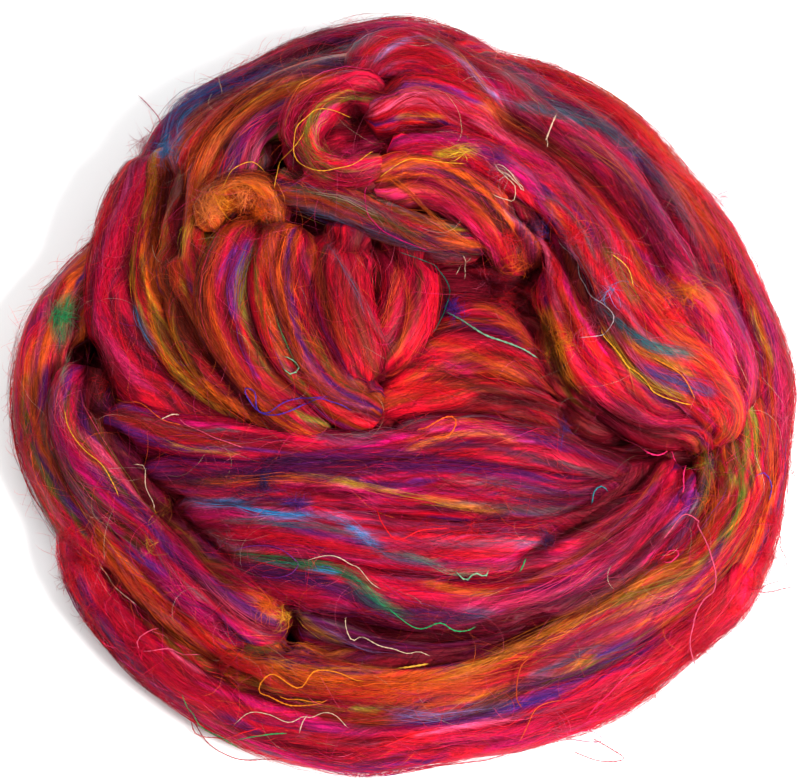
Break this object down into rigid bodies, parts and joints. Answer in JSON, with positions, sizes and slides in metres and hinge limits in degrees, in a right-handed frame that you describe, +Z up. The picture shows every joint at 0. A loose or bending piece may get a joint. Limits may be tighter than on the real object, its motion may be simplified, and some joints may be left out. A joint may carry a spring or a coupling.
{
  "type": "silk fibre nest",
  "caption": "Nest of combed sari silk waste in mixed bright colours, one soft sliver laid down in loose overlapping folds, for spinning and felting",
  "frame": {"origin": "centre of the bounding box at its bottom, on the surface that the nest lies on", "axes": "+Z up, -Y towards the viewer of the picture, +X to the right in the picture"},
  "size_m": [0.2305, 0.2362, 0.0637],
  "materials": {
    "silk_fibre": "soft sheen"
  },
  "bodies": {
    "root": {"silk_nest": "silk_fibre"}
  },
  "joints": []
}
